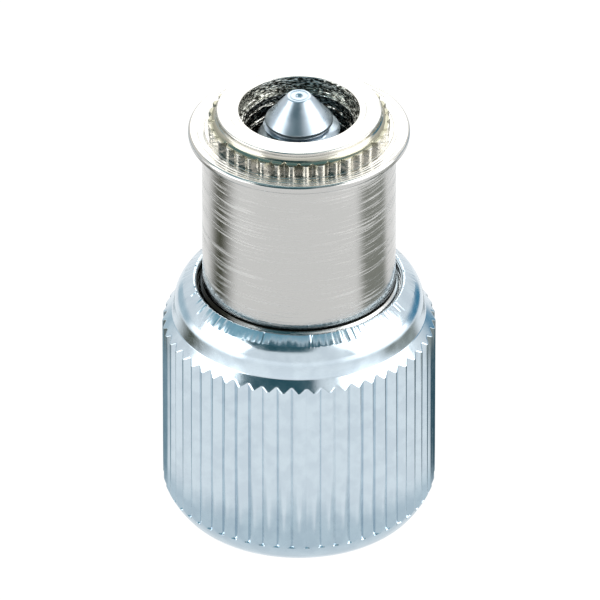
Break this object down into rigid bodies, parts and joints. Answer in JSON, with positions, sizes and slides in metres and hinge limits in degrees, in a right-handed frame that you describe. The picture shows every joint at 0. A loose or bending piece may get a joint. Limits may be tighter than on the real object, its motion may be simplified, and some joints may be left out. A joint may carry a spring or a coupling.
{
  "type": "captive panel screw",
  "caption": "Spring-loaded captive panel screw: a knurled knob slides on a flanged sleeve that clinches into a sheet and pushes a cone-pointed screw through it.",
  "frame": {"origin": "middle of the knob's end face, on its surface", "axes": "+Z along the screw's axis, from the knob's end face through the retainer to the screw's point"},
  "size_m": [0.0132, 0.0132, 0.023],
  "materials": {
    "knob": "bright zinc plate with a blue-white passivated coat",
    "retainer": "bright nickel plate over fine turning marks",
    "screw": "bright zinc plate with a blue-white passivated coat",
    "spring": "drawn spring steel"
  },
  "bodies": {
    "knob_and_screw": {"knob": "knob", "screw": "screw"},
    "spring": {"spring": "spring"},
    "retainer": {"retainer": "retainer"}
  },
  "joints": [
    {"name": "spin", "type": "hinge", "parent": "knob_and_screw", "child": "spring", "pos_m": [0, 0, 0], "axis": [0, 0, 1], "continuous": true},
    {"name": "press", "type": "slide", "parent": "spring", "child": "retainer", "axis": [0, 0, -1], "range_m": [0, 0.0075], "stiffness_N_per_m": 205, "springref_m": -0.0074, "deforming": ["spring"]}
  ]
}
